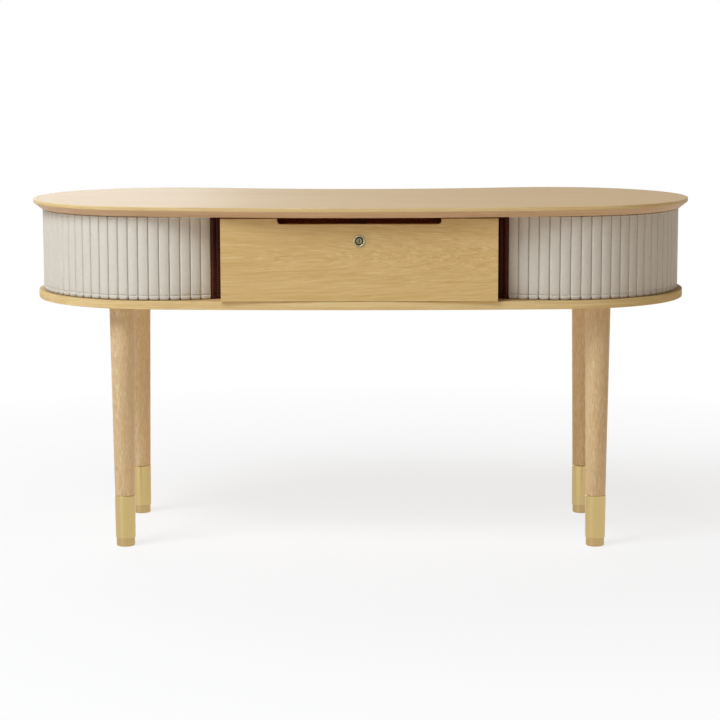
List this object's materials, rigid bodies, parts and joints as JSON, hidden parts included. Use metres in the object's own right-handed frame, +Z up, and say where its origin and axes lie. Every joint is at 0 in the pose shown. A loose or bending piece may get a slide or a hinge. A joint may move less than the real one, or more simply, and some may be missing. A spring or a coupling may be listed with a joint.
{
  "type": "writing desk",
  "caption": "Kidney-shaped writing desk with a shallow locking drawer between two round tambour cupboards, on tapered legs with brass ferrules.",
  "frame": {"origin": "centre of the desk's plan box, on the floor under the levelling feet", "axes": "+X along the desk to the sitter's right, -Y to the front where the drawer opens, +Z up"},
  "size_m": [1.48, 0.65, 0.76],
  "materials": {
    "oak_veneer": "natural oak veneer, satin lacquer",
    "oak_solid": "turned solid oak, satin lacquer",
    "carcase_board": "veneered board, matt lacquer",
    "drawer_board": "birch plywood, clear lacquer",
    "slat_leatherette": "fine-grained warm grey leatherette",
    "brown_leather": "dark brown leather, stitched",
    "backing_cloth": "cotton duck, glued",
    "brass": "brushed brass",
    "steel": "zinc plated",
    "dark_steel": "dark brown lacquer",
    "nickel": "satin nickel"
  },
  "bodies": {
    "carcase": {"top_panel": "oak_veneer", "base_panel": "oak_veneer", "back_panel": "oak_veneer", "partition_screws": "steel", "leg_bolts": "steel", "leg_nuts": "steel", "lock_strike": "dark_steel", "partition_left": "carcase_board", "back_shell_left": "oak_veneer", "back_post_left": "carcase_board", "cupboard_liner_left": "carcase_board", "runner_outer_left": "steel", "partition_right": "carcase_board", "back_shell_right": "oak_veneer", "back_post_right": "carcase_board", "cupboard_liner_right": "carcase_board", "runner_outer_right": "steel", "leg_front_left": "oak_solid", "ferrule_front_left": "brass", "leg_front_right": "oak_solid", "ferrule_front_right": "brass", "leg_rear_left": "oak_solid", "ferrule_rear_left": "brass", "leg_rear_right": "oak_solid", "ferrule_rear_right": "brass"},
    "drawer": {"drawer_front": "oak_veneer", "drawer_side_left": "drawer_board", "drawer_side_right": "drawer_board", "drawer_back": "drawer_board", "drawer_bottom": "drawer_board", "runner_inner_left": "steel", "runner_inner_right": "steel", "lock_housing": "nickel", "lock_nut": "steel"},
    "runner_middle": {"runner_middle_left": "steel", "runner_middle_right": "steel"},
    "lock": {"lock_plug": "nickel", "lock_cam": "steel", "lock_cam_nut": "steel"},
    "tambour_left": {"tambour_slats_left": "slat_leatherette", "tambour_cloth_left": "backing_cloth", "tambour_lead_bar_left": "steel", "tambour_lead_leather_left": "brown_leather"},
    "tambour_right": {"tambour_slats_right": "slat_leatherette", "tambour_cloth_right": "backing_cloth", "tambour_lead_bar_right": "steel", "tambour_lead_leather_right": "brown_leather"},
    "foot_front_left": {"levelling_foot_front_left": "brass"},
    "foot_front_right": {"levelling_foot_front_right": "brass"},
    "foot_rear_left": {"levelling_foot_rear_left": "brass"},
    "foot_rear_right": {"levelling_foot_rear_right": "brass"}
  },
  "joints": [
    {"name": "drawer_slide", "type": "slide", "parent": "carcase", "child": "drawer", "axis": [0, -1, 0], "range_m": [0, 0.38]},
    {"name": "runner_slide", "type": "slide", "parent": "carcase", "child": "runner_middle", "axis": [0, -1, 0], "range_m": [0, 0.19]},
    {"name": "lock_turn", "type": "hinge", "parent": "drawer", "child": "lock", "pos_m": [0, -0.285, 0.687], "axis": [0, -1, 0], "range_deg": [0, 90]},
    {"name": "tambour_left_turn", "type": "hinge", "parent": "carcase", "child": "tambour_left", "pos_m": [-0.438, 0.023, 0.64675], "axis": [0, 0, -1], "range_deg": [0, 80]},
    {"name": "tambour_right_turn", "type": "hinge", "parent": "carcase", "child": "tambour_right", "pos_m": [0.438, 0.023, 0.64675], "axis": [0, 0, 1], "range_deg": [0, 80]},
    {"name": "foot_front_left_screw", "type": "slide", "parent": "carcase", "child": "foot_front_left", "axis": [0, 0, -1], "range_m": [0, 0.008]},
    {"name": "foot_front_right_screw", "type": "slide", "parent": "carcase", "child": "foot_front_right", "axis": [0, 0, -1], "range_m": [0, 0.008]},
    {"name": "foot_rear_left_screw", "type": "slide", "parent": "carcase", "child": "foot_rear_left", "axis": [0, 0, -1], "range_m": [0, 0.008]},
    {"name": "foot_rear_right_screw", "type": "slide", "parent": "carcase", "child": "foot_rear_right", "axis": [0, 0, -1], "range_m": [0, 0.008]}
  ],
  "couplings": [
    {"joint": "runner_slide", "follows": "drawer_slide", "ratio": 0.5}
  ]
}
